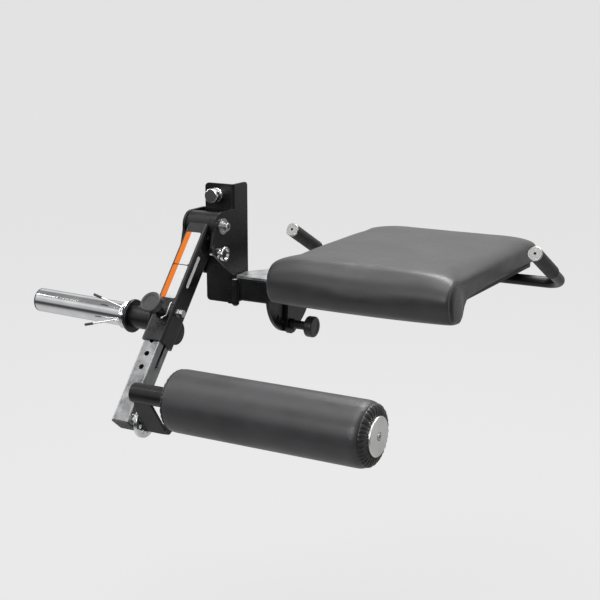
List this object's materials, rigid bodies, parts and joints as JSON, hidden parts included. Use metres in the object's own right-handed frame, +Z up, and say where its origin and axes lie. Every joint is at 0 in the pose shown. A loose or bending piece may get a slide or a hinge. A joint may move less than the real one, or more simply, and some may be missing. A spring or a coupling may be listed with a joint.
{
  "type": "leg extension attachment",
  "caption": "Rack-mounted leg extension attachment: pinned bracket, pivoting weight-loaded lever with telescoping arm and roller pad, and a tilting, swinging seat with handles.",
  "frame": {"origin": "axis of the mounting pin where it meets the front face of the rack upright", "axes": "+Z up; +Y into the upright, away from the user's shins; +X along the roller, from the weight post towards the seat"},
  "size_m": [0.9825, 0.9559, 0.4586],
  "materials": {
    "black_powder_coat": "fine textured satin powder coat",
    "chrome_plate": "polished",
    "zinc_steel": "zinc plated, lightly brushed",
    "bronze": "plain bearing, dull",
    "aluminium": "turned and anodised",
    "black_plastic": "satin moulded",
    "knob_plastic": "semi gloss moulded",
    "white_label": "printed film with a plain orange band",
    "black_rubber": "matt, finely grained",
    "charcoal_vinyl": "grained upholstery vinyl over foam",
    "board": "black stained plywood"
  },
  "bodies": {
    "base": {"mount_bracket": "black_powder_coat", "bracket_liner": "black_plastic", "mounting_pin_bushing": "chrome_plate", "pivot_yoke": "black_powder_coat", "pivot_shaft": "zinc_steel", "pivot_washers": "zinc_steel", "pivot_screws": "zinc_steel", "stop_pin_bushing": "chrome_plate", "hinge_knuckles": "black_powder_coat", "hinge_pin": "zinc_steel"},
    "mounting_pin": {"mounting_pin": "chrome_plate"},
    "stop_pin": {"stop_pin": "chrome_plate"},
    "lever": {"lever_barrel": "black_powder_coat", "barrel_bushings": "bronze", "grease_nipple": "zinc_steel", "lever_sleeve": "black_powder_coat", "sleeve_guides": "black_plastic", "sleeve_labels": "white_label", "length_plunger_body": "zinc_steel", "keeper_wire": "zinc_steel", "clamp_screw": "zinc_steel", "rear_bumper": "black_rubber", "post_socket": "black_powder_coat", "weight_post": "chrome_plate", "post_cap": "black_plastic"},
    "length_plunger": {"length_plunger_knob": "knob_plastic"},
    "spring_collar": {"spring_collar": "zinc_steel", "collar_grips": "black_plastic"},
    "lower_arm": {"sliding_tube": "zinc_steel", "tube_end_cap": "black_plastic", "index_disc": "chrome_plate", "carrier_pivot_bolt": "zinc_steel"},
    "roller_carrier": {"carrier_flange": "black_powder_coat", "carrier_gusset": "black_powder_coat", "axle_tube": "black_powder_coat", "axle_cap": "black_plastic", "roller_end_disc": "aluminium", "roller_end_screw": "zinc_steel"},
    "index_pin": {"index_pin": "zinc_steel"},
    "roller": {"roller_core": "zinc_steel", "roller_bushings": "black_plastic", "roller_pad": "charcoal_vinyl"},
    "seat_arm": {"arm_knuckle": "black_powder_coat", "seat_arm_tube": "black_powder_coat", "arm_top_plate": "zinc_steel", "tilt_sector": "black_powder_coat", "tilt_pivot": "zinc_steel"},
    "seat": {"tilt_cheek": "black_powder_coat", "seat_beam": "black_powder_coat", "beam_cap": "black_plastic", "tilt_plunger_body": "chrome_plate", "seat_board": "board", "board_screws": "zinc_steel", "seat_rails": "black_powder_coat", "handle_bar": "black_powder_coat", "handle_grips": "black_rubber", "handle_caps": "aluminium", "seat_cushion": "charcoal_vinyl"},
    "tilt_plunger": {"tilt_plunger_knob": "knob_plastic"}
  },
  "joints": [
    {"name": "mounting_pin_pull", "type": "slide", "parent": "base", "child": "mounting_pin", "axis": [0, -1, 0], "range_m": [0, 0.018], "stiffness_N_per_m": 900, "springref_m": -0.01},
    {"name": "stop_pin_pull", "type": "slide", "parent": "base", "child": "stop_pin", "axis": [1, 0, 0], "range_m": [0, 0.03], "stiffness_N_per_m": 600, "springref_m": -0.01},
    {"name": "lever_swing", "type": "hinge", "parent": "base", "child": "lever", "pos_m": [0, -0.056, -0.059], "axis": [-1, 0, 0], "range_deg": [0, 75]},
    {"name": "length_plunger_pull", "type": "slide", "parent": "lever", "child": "length_plunger", "axis": [0, -0.766, 0.6428], "range_m": [0, 0.012], "stiffness_N_per_m": 1200, "springref_m": -0.008},
    {"name": "arm_length", "type": "slide", "parent": "lever", "child": "lower_arm", "axis": [0, -0.6428, -0.766], "range_m": [-0.03, 0.06]},
    {"name": "collar_slide", "type": "slide", "parent": "lever", "child": "spring_collar", "axis": [-0.9997, 0, 0.0262], "range_m": [0, 0.17]},
    {"name": "roller_angle", "type": "hinge", "parent": "lower_arm", "child": "roller_carrier", "pos_m": [0, -0.35166, -0.40357], "axis": [1, 0, 0], "range_deg": [0, 90]},
    {"name": "index_pin_pull", "type": "slide", "parent": "roller_carrier", "child": "index_pin", "axis": [1, 0, 0], "range_m": [0, 0.01], "stiffness_N_per_m": 800, "springref_m": -0.008},
    {"name": "roller_spin", "type": "hinge", "parent": "roller_carrier", "child": "roller", "pos_m": [0, -0.3869, -0.33287], "axis": [1, 0, 0], "continuous": true},
    {"name": "seat_swing", "type": "hinge", "parent": "base", "child": "seat_arm", "pos_m": [0.043, -0.013, -0.203], "axis": [0, 0, -1], "range_deg": [0, 30]},
    {"name": "seat_tilt", "type": "hinge", "parent": "seat_arm", "child": "seat", "pos_m": [0, 0.078, -0.211], "axis": [-1, 0, 0], "range_deg": [0, 20]},
    {"name": "tilt_plunger_pull", "type": "slide", "parent": "seat", "child": "tilt_plunger", "axis": [1, 0, 0], "range_m": [0, 0.012], "stiffness_N_per_m": 1200, "springref_m": -0.008}
  ]
}
